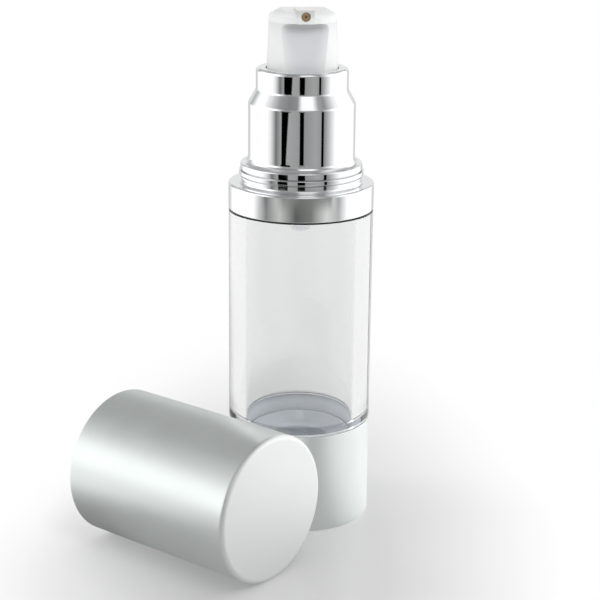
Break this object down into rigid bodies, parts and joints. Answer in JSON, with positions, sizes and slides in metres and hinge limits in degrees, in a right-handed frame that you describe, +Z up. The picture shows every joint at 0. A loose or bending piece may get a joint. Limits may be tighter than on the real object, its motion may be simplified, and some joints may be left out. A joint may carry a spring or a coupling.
{
  "type": "airless pump bottle",
  "caption": "Round airless pump bottle with a clear body, metal base and bright collar, its push button bare and its overcap laid beside it; for serums and creams.",
  "frame": {"origin": "centre of the foot, on the surface that the bottle stands on", "axes": "+Z up along the bottle's axis; -Y towards the side that the outlet faces, give or take the turn of the button; the laid overcap is on the -X, -Y side"},
  "size_m": [0.0696, 0.0715, 0.123],
  "materials": {
    "base_shell": "satin anodised",
    "base_insert": "moulded",
    "bottle_body": "clear polished",
    "follower_piston": "frosted",
    "shoulder_gasket": "matte",
    "neck_gasket": "matte",
    "pump_closure": "moulded",
    "collar_sleeve": "mirror bright",
    "pump_housing": "moulded",
    "inlet_ball": "polished",
    "spring_seat": "moulded",
    "return_spring": "drawn wire",
    "piston_seal": "moulded",
    "pump_stem": "moulded",
    "stem_retainer": "moulded",
    "outlet_ball": "polished",
    "actuator": "translucent white",
    "nozzle_plug": "moulded",
    "overcap_shell": "satin anodised",
    "overcap_liner": "moulded"
  },
  "bodies": {
    "bottle": {"base_shell": "base_shell", "base_insert": "base_insert", "bottle_body": "bottle_body", "shoulder_gasket": "shoulder_gasket", "neck_gasket": "neck_gasket", "pump_closure": "pump_closure", "collar_sleeve": "collar_sleeve", "pump_housing": "pump_housing", "spring_seat": "spring_seat", "return_spring": "return_spring", "stem_retainer": "stem_retainer"},
    "follower": {"follower_piston": "follower_piston"},
    "stem": {"pump_stem": "pump_stem", "piston_seal": "piston_seal"},
    "button": {"actuator": "actuator", "nozzle_plug": "nozzle_plug"},
    "inlet_valve": {"inlet_ball": "inlet_ball"},
    "outlet_valve": {"outlet_ball": "outlet_ball"},
    "overcap": {"overcap_shell": "overcap_shell", "overcap_liner": "overcap_liner"}
  },
  "joints": [
    {"name": "button_press", "type": "slide", "parent": "bottle", "child": "stem", "axis": [0, 0, -1], "range_m": [0, 0.0045], "stiffness_N_per_m": 1200, "springref_m": -0.004, "deforming": ["return_spring"]},
    {"name": "button_turn", "type": "hinge", "parent": "stem", "child": "button", "pos_m": [0, 0, 0.115], "axis": [0, 0, 1], "continuous": true},
    {"name": "follower_rise", "type": "slide", "parent": "bottle", "child": "follower", "axis": [0, 0, 1], "range_m": [0, 0.0549]},
    {"name": "inlet_lift", "type": "slide", "parent": "bottle", "child": "inlet_valve", "axis": [0, 0, 1], "range_m": [0, 0.0009]},
    {"name": "outlet_lift", "type": "slide", "parent": "stem", "child": "outlet_valve", "axis": [0, 0, 1], "range_m": [0, 0.0009]},
    {"name": "overcap_lift", "type": "slide", "parent": "bottle", "child": "overcap", "axis": [0, 0, 1], "range_m": [0, 0.13]}
  ]
}
